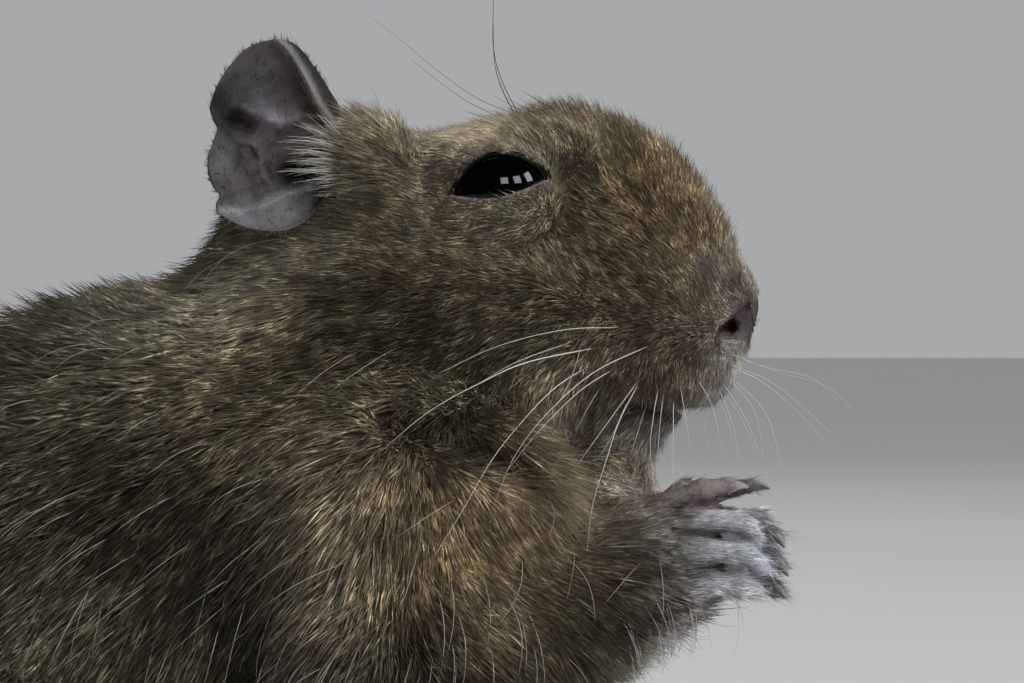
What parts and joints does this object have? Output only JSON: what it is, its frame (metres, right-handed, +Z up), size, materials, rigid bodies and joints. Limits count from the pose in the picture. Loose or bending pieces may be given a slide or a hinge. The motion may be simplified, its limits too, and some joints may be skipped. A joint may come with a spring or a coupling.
{
  "type": "degu",
  "caption": "Life-size degu sitting on its haunches with both forepaws raised to its mouth, rounded ears and a curved tail that ends in a dark brush.",
  "frame": {"origin": "on the floor, under the middle of the animal's length and width", "axes": "+X towards the nose, +Y to the animal's left, +Z up"},
  "size_m": [0.2005, 0.0726, 0.1004],
  "materials": {
    "coat": "short brown agouti fur",
    "paw": "very short pale grey fur",
    "brush": "stiff black hair",
    "ear": "thin grey skin, nearly bare",
    "eye": "wet black",
    "claw": "dark horn"
  },
  "bodies": {
    "root": {"ear_left": "ear", "eye_left": "eye", "ear_right": "ear", "eye_right": "eye", "upper_arm_left": "coat", "forearm_left": "coat", "forepaw_left": "paw", "claw_fore_left_1": "claw", "claw_fore_left_2": "claw", "claw_fore_left_3": "claw", "claw_fore_left_4": "claw", "thigh_left": "coat", "shank_left": "coat", "hind_foot_left": "paw", "claw_hind_left_1": "claw", "claw_hind_left_2": "claw", "claw_hind_left_3": "claw", "claw_hind_left_4": "claw", "claw_hind_left_5": "claw", "upper_arm_right": "coat", "forearm_right": "coat", "forepaw_right": "paw", "claw_fore_right_1": "claw", "claw_fore_right_2": "claw", "claw_fore_right_3": "claw", "claw_fore_right_4": "claw", "thigh_right": "coat", "shank_right": "coat", "hind_foot_right": "paw", "claw_hind_right_1": "claw", "claw_hind_right_2": "claw", "claw_hind_right_3": "claw", "claw_hind_right_4": "claw", "claw_hind_right_5": "claw", "head": "coat", "neck": "coat", "torso": "coat", "tail_root": "coat", "tail_middle": "coat", "tail_brush": "brush"}
  },
  "joints": []
}
